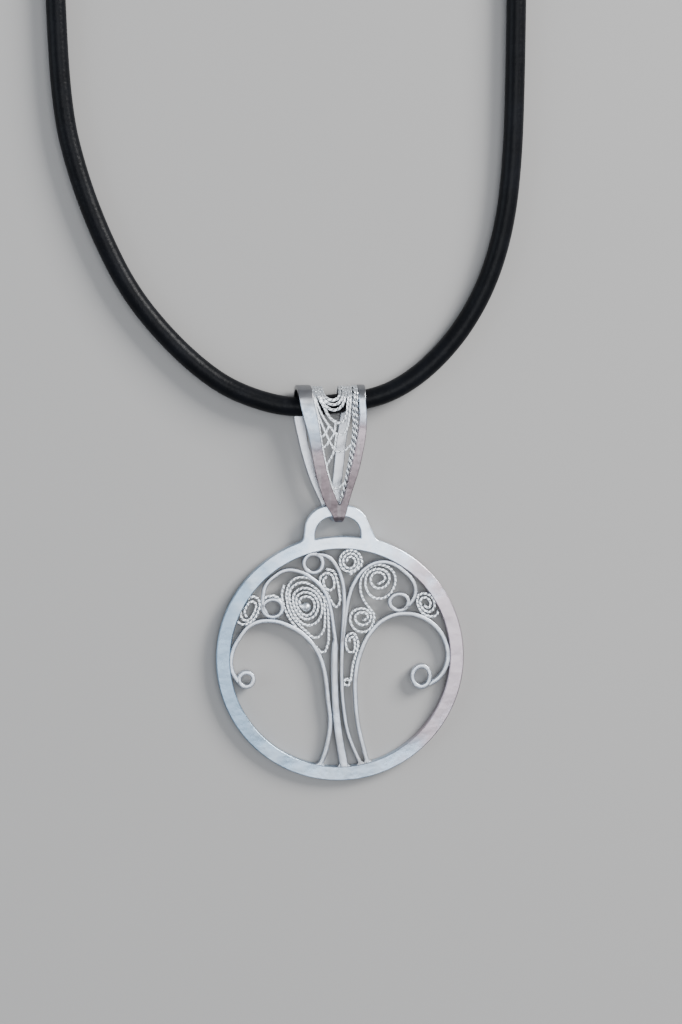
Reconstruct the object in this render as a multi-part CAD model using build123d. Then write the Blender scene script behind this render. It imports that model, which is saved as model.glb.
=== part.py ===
from build123d import *
from collections import namedtuple
from math import asin, cos, degrees, hypot, radians, sin, tan
import os

# A tree of life pendant on a leather cord, lying on its back. The frame is +Z up off the
# surface, +Y from the disc towards the bail, +X to the right as seen from the front.
# The origin is on the surface, in the middle below the disc and the bail.

# Driving dimensions in millimetres

ring_radius = 16.0          # outside of the round frame
ring_band = 1.8             # width of the frame's flat band
ring_height = 1.25          # the frame from its face to its back

trunk_height = 1.1
bough_height = 1.0
scroll_height = 0.75

# The tree's own widths are shares of its radius, in hundredths, so it keeps its pattern

trunk_foot_share = 7.6      # width of the trunk strip where it stands on the frame
trunk_tip_share = 5.3       # and where it ends in the crown
bough_share = 3.9           # the two big arches and their curls
twig_share = 3.4            # the wires that divide the crown
scroll_share = 2.25         # flattened twisted wire
granule_share = 4.2         # radius of the ball in the rose

# The loop on top

lug_side = -0.35            # the loop on top sits a little to one side
lug_left_foot = 4.45        # from the loop's middle out to its left side, over the band's middle
lug_left_crest = 3.9        # and at the crest, before the corner is rounded
lug_right_foot = 5.05
lug_right_crest = 2.95
lug_rise = 3.78             # from the frame's outside to the crest
lug_round = 3.1
lug_flare = 0.9             # fillet where it meets the frame
lug_bar = 1.42              # metal between the hole and the crest
lug_hole = 5.9              # width of the hole
lug_hole_round = 2.3
lug_hole_sink = 0.2         # the hole's arched floor, below the frame's outside

# The cord and the bail

cord_diameter = 2.5
cord_slack = 0.15           # between the cord and the inside of the bail
bail_side = -1.4            # the middle of the fold, to one side of the ring's middle
bail_length = 17.6          # from the foot to the top of the fold
bail_width = 8.7            # widest, across the fold
bail_wall = 0.6
bail_corner = 0.7           # outside corners of the foot
strand_share = 3.9          # width of the twisted wire that fills the bail, in hundredths of its own
strand_inset = 0.1          # the wire's faces lie this far inside the border's
foot_slack = 0.12           # between the foot and the loop's bar
bar_slack = 0.1             # above the bar
rest_gap = 0.05             # where the loop's bar lies on the bail's back leg

# The clasp

cap_diameter = 3.6          # end caps of the clasp
cap_length = 7.0
cap_mouth = 3.0             # depth of its hollow
cap_slack = 0.1             # round the cord's end
cap_round = 0.5
catch_length = 12.0         # the closed catch between the caps
catch_width = 5.2
catch_height = 2.2
catch_band = 1.5            # metal round the catch's eye
catch_edge = 0.25           # chamfer
neck_diameter = 1.4
neck_length = 1.6

# Shared by the wires and the cord

corner_share = 0.45         # an arc of the cord takes this share of the shorter run beside its corner
steps_per_place = 4         # a wire's side has this many straight steps from one place to the next
nearly = 0.01

# Derived sizes

tree_radius = ring_radius - ring_band
percent = tree_radius / 100
trunk_foot = trunk_foot_share * percent
trunk_tip = trunk_tip_share * percent
bough_wire = bough_share * percent
twig_wire = twig_share * percent
scroll_wire = scroll_share * percent
granule_radius = granule_share * percent
strand_wire = strand_share * bail_width / 100
cord_radius = cord_diameter / 2
bend_radius = cord_radius + cord_slack + bail_wall
slot_height = ring_height + rest_gap + bar_slack
foot_height = slot_height + 2 * bail_wall
bar_inner = ring_radius + lug_rise - lug_bar
bar_lift = bail_wall + rest_gap
disc_tilt = degrees(asin(bar_lift / (bar_inner + ring_radius)))
bail_foot = bar_inner - foot_slack - bail_wall
bail_top = bail_foot + bail_length
disc_bottom = -ring_radius - ring_height * sin(radians(disc_tilt))
disc_middle = -(bail_top + disc_bottom) / 2
cap_height = cap_diameter / 2

# Plan of the tree. Places are hundredths of the tree's radius, across and up from the ring's middle.

Place = namedtuple("Place", "across up")

LEFT_BOUGH = [
    Place(-22.5, -105.5), Place(-16.5, -94.5), Place(-11, -76), Place(-9, -58), Place(-11, -39.5),
    Place(-14.5, -12), Place(-20, 4.5), Place(-30.5, 19), Place(-44.5, 29), Place(-62.5, 35),
    Place(-80, 32), Place(-91, 20.5), Place(-98.8, 3), Place(-98.2, -10.5), Place(-91, -23),
]
RIGHT_BOUGH = [
    Place(27, -105), Place(22, -85.5), Place(16.5, -62.5), Place(14, -39.5), Place(14, -17),
    Place(19, 6), Place(29.5, 25.5), Place(44, 37), Place(59, 40), Place(74, 36.5), Place(87.5, 27),
    Place(95.5, 14.5), Place(98.4, 2), Place(97.2, -8), Place(91.5, -18), Place(81.5, -26),
]
TRUNK = [
    Place(4.5, -105.5), Place(1, -85.5), Place(-2, -67), Place(-4, -48.5), Place(-5, -30.5),
    Place(-5.5, -7.5), Place(-5, 17.5),
]
STEM = [
    Place(22.5, -105), Place(13.5, -86.5), Place(7, -68.5), Place(3.5, -49), Place(1.5, -26),
    Place(1.5, 6), Place(3, 36.5), Place(3.5, 55), Place(1.5, 71.5), Place(-3.5, 83.5),
    Place(-11, 92.5), Place(-22.5, 95.5),
]
LEFT_TWIG = [
    Place(-3.5, 8), Place(-6, 26.5), Place(-9, 45.5), Place(-14, 60.5), Place(-27, 74),
    Place(-38.5, 80), Place(-49.5, 81), Place(-60, 75.5), Place(-67.5, 67.5), Place(-70, 57.5),
    Place(-70, 48), Place(-65.5, 40.5),
]
RIGHT_TWIG = [
    Place(2, 15.5), Place(4.5, 35.5), Place(7.5, 54), Place(13.5, 70.5), Place(23, 82),
    Place(36, 87.5), Place(47.5, 85.5), Place(58.5, 78), Place(66, 69.5), Place(68.5, 61),
    Place(65.5, 51.5), Place(57.5, 44.5),
]
LEAF_EDGE = [Place(-70, 55.5), Place(-64.5, 57.5), Place(-58.5, 57), Place(-53, 53)]

# Closed loops at the ends of the wires, their half width and half height to the wire's middle
Loop = namedtuple("Loop", "across up half_width half_height")

BOUGH_LOOPS = [Loop(-85.5, -18.5, 6.5, 6.5), Loop(74, -18, 8, 9.5)]
TWIG_LOOPS = [Loop(-24.5, 87, 8.5, 8.5), Loop(-61.5, 46.5, 9, 8), Loop(53.5, 50.5, 8.5, 7.5)]
TAIL_LOOP = Loop(6, -22.5, 2.8, 3)

# A scroll's wire comes along its lead and winds inwards about its eye. Its reaches are its
# distances from the eye at each quarter turn, in hundredths of the tree's radius. start and
# lean are in degrees, and hand is +1 where it winds to the left.
Scroll = namedtuple("Scroll", "across up start lean hand lead reaches")

ROSE_LEAD = [
    Place(-51, 67.5), Place(-53, 59.5), Place(-52, 51.5), Place(-48.3, 41), Place(-41.5, 30.5),
    Place(-31, 19.5), Place(-22, 10.5), Place(-15.5, 5.5), Place(-11.5, 12), Place(-10.5, 24),
    Place(-10.7, 34), Place(-11.3, 44), Place(-13, 56), Place(-20, 68), Place(-33, 74.3),
    Place(-43, 72), Place(-48.6, 61), Place(-48.3, 52), Place(-46, 43), Place(-39.6, 33.5),
    Place(-31.5, 25.5), Place(-22.5, 19), Place(-16, 24), Place(-14, 34), Place(-14.4, 45),
]
DROP_LEAD = [
    Place(-13, 81.5), Place(-6.5, 79.5), Place(-3, 71), Place(-1, 60), Place(-0.6, 51.5), Place(-3.8, 47),
    Place(-7.4, 51), Place(-11.8, 59.3),
]
SECOND_LEAD = [Place(18.5, 70), Place(18, 64), Place(20.2, 55), Place(24.5, 48), Place(28.3, 43.2)]
THIRD_LEAD = [Place(9.5, -21.5), Place(10.5, -14), Place(11.5, -6.5), Place(13.5, 0.5), Place(15.5, 8)]
RIGHT_SMALL_LEAD = [
    Place(89.3, 42), Place(87.3, 38), Place(81.6, 37.2), Place(75.3, 40), Place(71.5, 45.5),
    Place(70, 51.7),
]

SCROLLS = [
    Scroll(-33, 49.5, 0, 21.7, 1, ROSE_LEAD, (
        18.6, 20, 11.5, 20, 15.3, 14.5, 8.8, 14, 12.4, 10.5, 6.2, 10.5, 9.2, 6.5, 3.4, 5,
    )),
    Scroll(34, 72.5, 180, 0, -1, [Place(18, 62)], (
        15, 12.5, 16, 18.5, 11, 8.5, 10.5, 9, 6.5, 5.5, 6.5, 5.5,
    )),
    Scroll(20.5, 37.5, 0, 0, -1, SECOND_LEAD, (10.5, 14, 11.5, 7.5, 7.5, 7.5, 7, 4, 4.5, 3.5)),
    Scroll(10.5, 14.5, 0, 0, 1, THIRD_LEAD, (5.5, 8, 5.5, 9.5, 2.6, 4.8, 2.8)),
    Scroll(8.5, 88, 270, 0, 1, [], (12, 11, 10.5, 9, 9, 8, 7.5, 6, 6, 5, 4.5, 3.5)),
    Scroll(-11.5, 72.5, 180, 14, -1, DROP_LEAD, (7.5, 5.5, 5, 10.4, 4, 2.5)),
    Scroll(-83, 43, 0, -25, 1, [Place(-93, 35.5), Place(-90.5, 32.5)], (
        7.5, 15, 7.5, 8, 4.5, 10.5, 4, 5,
    )),
    Scroll(78, 48.5, 90, 32, -1, RIGHT_SMALL_LEAD, (10.5, 8, 8, 4.8, 6.4, 4.4, 4, 2)),
]
GRANULE = Place(-31, 47)

# Plan of the bail. up is hundredths of its length from the foot, and left and right are
# hundredths of its width from its middle.

Span = namedtuple("Span", "up left right")

FRONT_EDGE = [
    Span(-5, 8, 16.5), Span(0.5, 8, 16.5), Span(4, 5, 21), Span(7, 1, 23), Span(14.5, -8.5, 27),
    Span(24, -15.5, 32.5), Span(37.5, -23, 41), Span(50, -28, 46.5), Span(63.5, -33, 51),
    Span(78, -41, 52), Span(88, -46, 50.5), Span(100, -50, 50),
]
FRONT_OPENING = [
    Span(13, 13, 14), Span(18, 8.5, 18.5), Span(25.5, 2.2, 22.8), Span(38, -5.5, 28.5),
    Span(53, -12, 35), Span(68, -17, 40), Span(78, -20.5, 41.5), Span(88, -25, 40.5),
    Span(105, -31, 39.5),
]
BACK_EDGE = [
    Span(-5, 8, 16.5), Span(0.5, 8, 16.5), Span(6, -4, 17), Span(14, -13, 17), Span(32, -29, 20.2),
    Span(48.5, -39.5, 23.8), Span(61, -45.5, 26.5), Span(74.5, -51, 32), Span(88, -52, 42),
    Span(100, -50, 50),
]
BACK_OPENING = [
    Span(19, -2.5, 2.5), Span(32, -15.5, 6), Span(48.5, -26, 9.2), Span(61, -32, 11.8),
    Span(80, -36, 18),
]
CREST_OPENING = [Span(90, -33, 34), Span(105, -31, 39.5)]
CREST_RUN = [Span(84, -40, 45), Span(105, -40, 45)]     # the front's wires run this far over the top

# Wires that fill the front, in the same shares: four that hang from the crest, the finer net
# between them, and three along the band's inner edges
STRANDS = [
    [Place(-13, 103), Place(-13, 96.5), Place(-9.5, 92), Place(-2.5, 89.8), Place(4.8, 89.6),
     Place(10.3, 91.2), Place(12.8, 96), Place(13, 103)],
    [Place(-18, 103), Place(-17.5, 96.5), Place(-13, 91.5), Place(-6.5, 88), Place(0.7, 86.4),
     Place(8, 86.7), Place(13.8, 89.3), Place(16.8, 94), Place(17.3, 103)],
    [Place(-23, 103), Place(-21.5, 96.5), Place(-15.5, 90), Place(-8, 85.2), Place(-1, 82.8),
     Place(6.8, 82.5), Place(14, 84.6), Place(18.5, 88.5), Place(21, 94), Place(21.5, 103)],
    [Place(-27, 103), Place(-25.5, 96.5), Place(-17, 90), Place(-10.5, 84.5), Place(-4.5, 78.6),
     Place(3.2, 74.6), Place(11.3, 73), Place(18, 74), Place(22, 78.5), Place(24, 86),
     Place(25.5, 96), Place(25.5, 103)],
    [Place(-29, 96.5), Place(-21.3, 88), Place(-15, 80.5), Place(-7.6, 74.2), Place(0.8, 68.6),
     Place(8.2, 65), Place(15.6, 64.4), Place(21, 66.5), Place(24.5, 71), Place(27, 80),
     Place(29, 96), Place(29.5, 103)],
    [Place(-28, 90), Place(-22.5, 84), Place(-17.2, 76.8), Place(-11.4, 69.7), Place(-5.6, 63.4),
     Place(0.2, 57.5), Place(6, 53.3), Place(13.3, 51.8), Place(20, 52.8), Place(30, 57.5)],
    [Place(-17.5, 61.2), Place(-9.6, 64.5), Place(-6.1, 67.3), Place(-2.9, 71)],
    [Place(-14, 54.6), Place(-7.1, 56.4), Place(-2.5, 60.5)],
    [Place(-3.5, 60), Place(1.8, 62.8), Place(5, 66.4), Place(6.2, 72), Place(6.4, 75)],
    [Place(-7.5, 40.5), Place(-1.2, 46.2), Place(2.8, 49.9), Place(5.5, 54.3), Place(6.7, 58.8),
     Place(8, 66)],
    [Place(0.5, 27.6), Place(4, 25.6), Place(8.9, 24.9), Place(14, 26.3), Place(20.5, 29.5)],
    [Place(-27, 94), Place(-23, 86.7), Place(-19.4, 78.6), Place(-16.6, 68), Place(-14, 60),
     Place(-11, 52), Place(-7.7, 44), Place(-4.2, 37), Place(-0.2, 30), Place(4.2, 23),
     Place(9.3, 17)],
    [Place(34, 103), Place(34, 96), Place(33, 82), Place(33.5, 70), Place(32, 60),
     Place(29.5, 50), Place(26.5, 41), Place(23.5, 33), Place(20.5, 26), Place(16.5, 18)],
    [Place(37.6, 103), Place(37.6, 96), Place(37.3, 82), Place(37.6, 70), Place(35.8, 60),
     Place(32.8, 50), Place(29.2, 41)],
]

# Path of the cord's middle, in millimetres, from one cap of the clasp round to the other.
# It rises over the bail's back leg and runs down again to the surface.
CORD_ROUTE = [
    (-19.0, 186.0, 1.8), (-24.6, 186.0, 1.8), (-29.8, 183.8, 1.62), (-33.9, 179.7, 1.4),
    (-36.0, 174.3, 1.27), (-36.15, 162.0, 1.25), (-36.2, 142.0, 1.25), (-36.25, 118.0, 1.25),
    (-36.1, 95.0, 1.25), (-35.7, 75.3, 1.25), (-35.0, 60.2, 1.25), (-33.1, 52.2, 1.25),
    (-30.3, 44.6, 1.25), (-26.6, 37.2, 1.25), (-21.4, 30.9, 1.27), (-16.0, 26.2, 1.45),
    (-11.5, 24.0, 1.75), (-6.4, 22.7, 1.95), (-1.3, 23.1, 1.95), (4.4, 23.85, 1.95),
    (8.5, 25.7, 1.75), (12.5, 28.9, 1.45), (16.2, 33.4, 1.27), (19.2, 39.2, 1.25),
    (21.1, 46.0, 1.25), (21.95, 53.6, 1.25), (22.25, 62.4, 1.25), (22.4, 77.5, 1.25),
    (22.4, 97.0, 1.25), (22.3, 119.0, 1.25), (22.1, 142.0, 1.25), (21.8, 162.0, 1.25),
    (21.5, 174.3, 1.27), (19.3, 179.7, 1.4), (15.15, 183.8, 1.62), (10.0, 186.0, 1.8),
    (4.4, 186.0, 1.8),
]


# Wires in plan


def on_tree(place):
    """A place of the tree's plan, in millimetres."""
    return Vector(place.across * percent, place.up * percent)


def on_bail(across, up):
    """A place of the bail's plan, in millimetres."""
    return Vector(bail_side + across * bail_width / 100, bail_foot + up * bail_length / 100)


def ribbon(path, width, steps, tip_width=None):
    """The flat shape of a wire of this width along a path, wider or narrower at its tip."""
    tip_width = width if tip_width is None else tip_width
    left = []
    right = []
    for step in range(steps + 1):
        along = step / steps
        half = (width + (tip_width - width) * along) / 2
        point = path @ along
        side = (path % along).rotate(Axis.Z, 90) * half
        left.append(point + side)
        right.append(point - side)
    right.reverse()
    return make_face(Polyline(*left, *right, close=True)).faces()[0]


def bent_wire(places, width, tip_width=None):
    path = Spline(*[on_tree(place) for place in places])
    return ribbon(path, width, steps_per_place * len(places), tip_width)


def wound_wire(scroll):
    """A wire that comes along its lead and winds in through its reach at each quarter turn."""
    points = [on_tree(place) for place in scroll.lead]
    for quarter, reach in enumerate(scroll.reaches):
        angle = scroll.start + scroll.lean + scroll.hand * quarter * 90
        spoke = Vector(cos(radians(angle)), sin(radians(angle))) * (reach * percent)
        points.append(on_tree(scroll) + spoke)
    return ribbon(Spline(*points), scroll_wire, steps_per_place * len(points))


def loop_shape(loop, wire):
    """A closed oval loop of wire."""
    half_width = loop.half_width * percent
    half_height = loop.half_height * percent
    outside = Ellipse(half_width + wire / 2, half_height + wire / 2)
    inside = Ellipse(half_width - wire / 2, half_height - wire / 2)
    return Pos(on_tree(loop)) * (outside - inside)


# The disc


def raised(shape, height):
    """A flat shape made this high, midway between the frame's two faces."""
    return Pos(0, 0, (ring_height - height) / 2) * extrude(shape, height)


def lug_plan():
    """The loop on top, its crest corners rounded, and its hole. Its sides run on straight to
    the level of the frame's inside, so their lower ends lie well within the band."""
    base = ring_radius - ring_band / 2
    crest = ring_radius + lug_rise
    run_on = (base - tree_radius) / (crest - base)
    left_end = lug_left_foot + (lug_left_foot - lug_left_crest) * run_on
    right_end = lug_right_foot + (lug_right_foot - lug_right_crest) * run_on
    outline = Polygon(
        (-left_end, tree_radius), (right_end, tree_radius),
        (lug_right_crest, crest), (-lug_left_crest, crest),
        align=None,
    )
    corners = outline.vertices().group_by(Axis.Y)[-1]
    outline = fillet(corners, lug_round)
    hole = Polygon(
        (-lug_hole / 2, base), (lug_hole / 2, base),
        (lug_hole / 2, bar_inner), (-lug_hole / 2, bar_inner),
        align=None,
    )
    hole = fillet(hole.vertices().group_by(Axis.Y)[-1], lug_hole_round)
    return Pos(lug_side, 0) * outline, Pos(lug_side, 0) * hole


def frame_plan():
    """The round band and its loop, with a fillet where they meet outside."""
    lug, hole = lug_plan()
    plan = Circle(ring_radius) + lug
    joints = [
        vertex for vertex in plan.vertices()
        if abs(hypot(vertex.X, vertex.Y) - ring_radius) < nearly
    ]
    plan = fillet(joints, lug_flare)
    plan -= hole - Circle(ring_radius - lug_hole_sink)
    return plan - Circle(tree_radius)


def stout_wires():
    """The frame with its trunk, boughs and twigs soldered in."""
    solids = [raised(frame_plan(), ring_height)]
    solids.append(raised(bent_wire(TRUNK, trunk_foot, trunk_tip), trunk_height))
    for places in (LEFT_BOUGH, RIGHT_BOUGH):
        solids.append(raised(bent_wire(places, bough_wire), bough_height))
    for loop in BOUGH_LOOPS:
        solids.append(raised(loop_shape(loop, bough_wire), bough_height))
    for places in (STEM, LEFT_TWIG, RIGHT_TWIG):
        solids.append(raised(bent_wire(places, twig_wire), bough_height))
    for loop in TWIG_LOOPS:
        solids.append(raised(loop_shape(loop, twig_wire), bough_height))
    return solids[0].fuse(*solids[1:])


def fine_wires():
    """The flattened twisted wires of the crown, joined where they touch."""
    shapes = [bent_wire(LEAF_EDGE, scroll_wire), loop_shape(TAIL_LOOP, scroll_wire)]
    shapes += [wound_wire(scroll) for scroll in SCROLLS]
    return raised(shapes[0].fuse(*shapes[1:]), scroll_height)


def tree_disc():
    whole = stout_wires().fuse(*fine_wires().solids())
    whole = whole.fuse(Pos(on_tree(GRANULE)) * Pos(0, 0, ring_height / 2) * Sphere(granule_radius))
    low_edge = Axis((0, -ring_radius, 0), (1, 0, 0))
    return Pos(0, disc_middle, 0) * whole.rotate(low_edge, disc_tilt)


# The bail


def fold_profile(inset):
    """The folded band seen from its side, drawn in by this much: round over the cord at the
    top and nearly square at the foot. Its X is the way up from the ring, and its Y the height."""
    foot = bail_foot + bail_corner
    circles = [
        Pos(bail_top - bend_radius, bend_radius) * Circle(bend_radius - inset),
        Pos(foot, bail_corner) * Circle(bail_corner - inset),
        Pos(foot, foot_height - bail_corner) * Circle(bail_corner - inset),
    ]
    edges = [circle.edges()[0] for circle in circles]
    return make_hull(edges)


def fold(outer_inset, inner_inset):
    """The band as a plain folded sheet, wider than the bail."""
    side = Plane(origin=(bail_side - bail_width, 0, 0), x_dir=(0, 1, 0), z_dir=(1, 0, 0))
    sheet = fold_profile(outer_inset) - fold_profile(inner_inset)
    return extrude(side * sheet, 2 * bail_width)


def plan_shape(spans):
    """The flat shape between the left and right ends of a table of spans."""
    left = [on_bail(span.left, span.up) for span in spans]
    right = [on_bail(span.right, span.up) for span in reversed(spans)]
    return make_face(Polyline(*left, *right, close=True)).faces()[0]


def strand_plan():
    """The wires of the front's filling, joined where they cross."""
    ribbons = []
    for places in STRANDS:
        path = Spline(*[on_bail(place.across, place.up) for place in places])
        ribbons.append(ribbon(path, strand_wire, steps_per_place * len(places)))
    return ribbons[0].fuse(*ribbons[1:])


def half_of(sheet, pattern, keep):
    """The front or the back half of a folded sheet, cut to a flat pattern."""
    middle = Vector(0, bail_foot, foot_height / 2)
    crest = Vector(0, bail_top, bend_radius)
    seam = Plane(origin=middle, x_dir=(1, 0, 0), z_dir=Vector(1, 0, 0).cross(crest - middle))
    height = 2 * bend_radius + bail_wall
    return split(sheet, seam, keep=keep) & extrude(pattern, height)


def bail():
    band = fold(0, bail_wall)
    wires = fold(strand_inset, bail_wall - strand_inset)
    front = half_of(band, plan_shape(FRONT_EDGE) - plan_shape(FRONT_OPENING), Keep.TOP)
    back = plan_shape(BACK_EDGE) - plan_shape(BACK_OPENING) - plan_shape(CREST_OPENING)
    back = half_of(band, back, Keep.BOTTOM)
    strands = strand_plan()
    filling = half_of(wires, strands, Keep.TOP)
    crest_run = half_of(wires, strands & plan_shape(CREST_RUN), Keep.BOTTOM)
    return Pos(0, disc_middle, 0) * front.fuse(back, filling, crest_run)


# The cord and its clasp


def cord_path():
    """Straight runs joined by tangent arcs, each as large as its two runs allow."""
    points = [Vector(*point) for point in CORD_ROUTE]
    radii = []
    for before, corner, after in zip(points, points[1:], points[2:]):
        run_in = corner - before
        run_out = after - corner
        turn = radians(run_in.get_angle(run_out))
        radii.append(corner_share * min(run_in.length, run_out.length) / tan(turn / 2))
    return FilletPolyline(*points, radius=radii), radii


def leather_cord(path):
    end = Plane(origin=path @ 0, z_dir=path % 0)
    return sweep(end * Circle(cord_radius), path=path)


def clasp():
    """The caps on the cord's two ends, with the closed catch between them."""
    first = Vector(*CORD_ROUTE[0])
    last = Vector(*CORD_ROUTE[-1])
    middle = (first + last) / 2
    reach = catch_length / 2 + neck_length + cap_length
    catch = SlotOverall(catch_length, catch_width) - SlotOverall(
        catch_length - 2 * catch_band, catch_width - 2 * catch_band
    )
    whole = Pos(0, 0, -catch_height / 2) * extrude(catch, catch_height)
    whole = chamfer(whole.edges().group_by(Axis.Z)[-1], catch_edge)
    whole = chamfer(whole.edges().group_by(Axis.Z)[0], catch_edge)
    for way in (-1, 1):
        outward = Plane(origin=(0, 0, 0), x_dir=(0, 0, 1), z_dir=(way, 0, 0))
        neck = outward * Pos(0, 0, catch_length / 2 - catch_band / 2) * Cylinder(
            neck_diameter / 2, neck_length + catch_band, align=(Align.CENTER, Align.CENTER, Align.MIN)
        )
        cap = Cylinder(cap_diameter / 2, cap_length, align=(Align.CENTER, Align.CENTER, Align.MAX))
        cap = fillet(cap.edges().sort_by(Axis.Z)[0], cap_round)
        cap -= Cylinder(
            cord_radius + cap_slack, cap_mouth, align=(Align.CENTER, Align.CENTER, Align.MAX)
        )
        whole = whole.fuse(neck, outward * Pos(0, 0, reach) * cap)
    return Pos(middle.X, middle.Y, cap_height) * whole


def main():
    path, radii = cord_path()
    print("cord length", round(path.length, 1), "arc radii", [round(radius, 1) for radius in radii])
    nodes = {
        "tree_disc": tree_disc(),
        "bail": bail(),
        "leather_cord": leather_cord(path),
        "clasp": clasp(),
    }
    os.makedirs("parts", exist_ok=True)
    for name, node in nodes.items():
        export_step(node, f"parts/{name}.step")


main()
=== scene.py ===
from collections import namedtuple
from math import asin, atan2, ceil, cos, hypot, pi, radians, sin, tan

import bmesh
import bpy
from mathutils import Matrix, Vector


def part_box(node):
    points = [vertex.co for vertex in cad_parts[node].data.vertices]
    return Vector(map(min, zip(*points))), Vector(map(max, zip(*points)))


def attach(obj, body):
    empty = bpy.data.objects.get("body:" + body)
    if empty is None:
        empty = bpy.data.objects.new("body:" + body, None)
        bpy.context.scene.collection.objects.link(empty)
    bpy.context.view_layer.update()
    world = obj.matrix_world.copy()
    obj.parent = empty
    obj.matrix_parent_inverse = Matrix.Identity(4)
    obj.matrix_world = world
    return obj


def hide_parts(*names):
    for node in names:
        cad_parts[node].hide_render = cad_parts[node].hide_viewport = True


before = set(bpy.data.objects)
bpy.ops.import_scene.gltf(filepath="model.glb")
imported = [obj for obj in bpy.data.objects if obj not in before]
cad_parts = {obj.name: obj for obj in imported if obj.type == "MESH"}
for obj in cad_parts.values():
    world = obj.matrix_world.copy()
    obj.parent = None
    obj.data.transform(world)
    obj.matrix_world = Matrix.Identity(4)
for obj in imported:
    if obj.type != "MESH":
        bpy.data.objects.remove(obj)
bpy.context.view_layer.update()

bl_info = {
    "name": "Tree of Life Pendant",
    "version": (1, 0, 0),
    "blender": (4, 5, 0),
    "location": "View3D > Sidebar > Pendant",
    "description": "Makes a silver filigree tree pendant on a leather cord",
    "category": "Add Mesh",
}

# Sizes in the property groups are in metres. Pieces are shaped in millimetres and then scaled by MM.
MM = 0.001

disc_low, disc_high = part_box("tree_disc")
bail_low, bail_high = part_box("bail")

# Plan of the tree. Places are hundredths of the tree's radius, across and up from the ring's middle.

Place = namedtuple("Place", "across up")

LEFT_BOUGH = [
    Place(-22.5, -105.5), Place(-16.5, -94.5), Place(-11, -76), Place(-9, -58), Place(-11, -39.5),
    Place(-14.5, -12), Place(-20, 4.5), Place(-30.5, 19), Place(-44.5, 29), Place(-62.5, 35),
    Place(-80, 32), Place(-91, 20.5), Place(-98.8, 3), Place(-98.2, -10.5), Place(-91, -23),
]
RIGHT_BOUGH = [
    Place(27, -105), Place(22, -85.5), Place(16.5, -62.5), Place(14, -39.5), Place(14, -17),
    Place(19, 6), Place(29.5, 25.5), Place(44, 37), Place(59, 40), Place(74, 36.5), Place(87.5, 27),
    Place(95.5, 14.5), Place(98.4, 2), Place(97.2, -8), Place(91.5, -18), Place(81.5, -26),
]
TRUNK = [
    Place(4.5, -105.5), Place(1, -85.5), Place(-2, -67), Place(-4, -48.5), Place(-5, -30.5),
    Place(-5.5, -7.5), Place(-5, 17.5),
]
STEM = [
    Place(22.5, -105), Place(13.5, -86.5), Place(7, -68.5), Place(3.5, -49), Place(1.5, -26),
    Place(1.5, 6), Place(3, 36.5), Place(3.5, 55), Place(1.5, 71.5), Place(-3.5, 83.5),
    Place(-11, 92.5), Place(-22.5, 95.5),
]
LEFT_TWIG = [
    Place(-3.5, 8), Place(-6, 26.5), Place(-9, 45.5), Place(-14, 60.5), Place(-27, 74),
    Place(-38.5, 80), Place(-49.5, 81), Place(-60, 75.5), Place(-67.5, 67.5), Place(-70, 57.5),
    Place(-70, 48), Place(-65.5, 40.5),
]
RIGHT_TWIG = [
    Place(2, 15.5), Place(4.5, 35.5), Place(7.5, 54), Place(13.5, 70.5), Place(23, 82),
    Place(36, 87.5), Place(47.5, 85.5), Place(58.5, 78), Place(66, 69.5), Place(68.5, 61),
    Place(65.5, 51.5), Place(57.5, 44.5),
]
LEAF_EDGE = [Place(-70, 55.5), Place(-64.5, 57.5), Place(-58.5, 57), Place(-53, 53)]

# Closed loops at the ends of the wires, their half width and half height to the wire's middle
Loop = namedtuple("Loop", "across up half_width half_height")

BOUGH_LOOPS = [Loop(-85.5, -18.5, 6.5, 6.5), Loop(74, -18, 8, 9.5)]
TWIG_LOOPS = [Loop(-24.5, 87, 8.5, 8.5), Loop(-61.5, 46.5, 9, 8), Loop(53.5, 50.5, 8.5, 7.5)]
TAIL_LOOP = Loop(6, -22.5, 2.8, 3)

# A scroll's wire comes along its lead and winds inwards about its eye. Its reaches are its
# distances from the eye at each quarter turn. start and lean are in degrees, and hand is +1
# where it winds to the left.
Scroll = namedtuple("Scroll", "across up start lean hand lead reaches")

ROSE_LEAD = [
    Place(-51, 67.5), Place(-53, 59.5), Place(-52, 51.5), Place(-48.3, 41), Place(-41.5, 30.5),
    Place(-31, 19.5), Place(-22, 10.5), Place(-15.5, 5.5), Place(-11.5, 12), Place(-10.5, 24),
    Place(-10.7, 34), Place(-11.3, 44), Place(-13, 56), Place(-20, 68), Place(-33, 74.3),
    Place(-43, 72), Place(-48.6, 61), Place(-48.3, 52), Place(-46, 43), Place(-39.6, 33.5),
    Place(-31.5, 25.5), Place(-22.5, 19), Place(-16, 24), Place(-14, 34), Place(-14.4, 45),
]
DROP_LEAD = [
    Place(-13, 81.5), Place(-6.5, 79.5), Place(-3, 71), Place(-1, 60), Place(-0.6, 51.5),
    Place(-3.8, 47), Place(-7.4, 51), Place(-11.8, 59.3),
]
SECOND_LEAD = [Place(18.5, 70), Place(18, 64), Place(20.2, 55), Place(24.5, 48), Place(28.3, 43.2)]
THIRD_LEAD = [Place(9.5, -21.5), Place(10.5, -14), Place(11.5, -6.5), Place(13.5, 0.5), Place(15.5, 8)]
RIGHT_SMALL_LEAD = [
    Place(89.3, 42), Place(87.3, 38), Place(81.6, 37.2), Place(75.3, 40), Place(71.5, 45.5),
    Place(70, 51.7),
]

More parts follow.
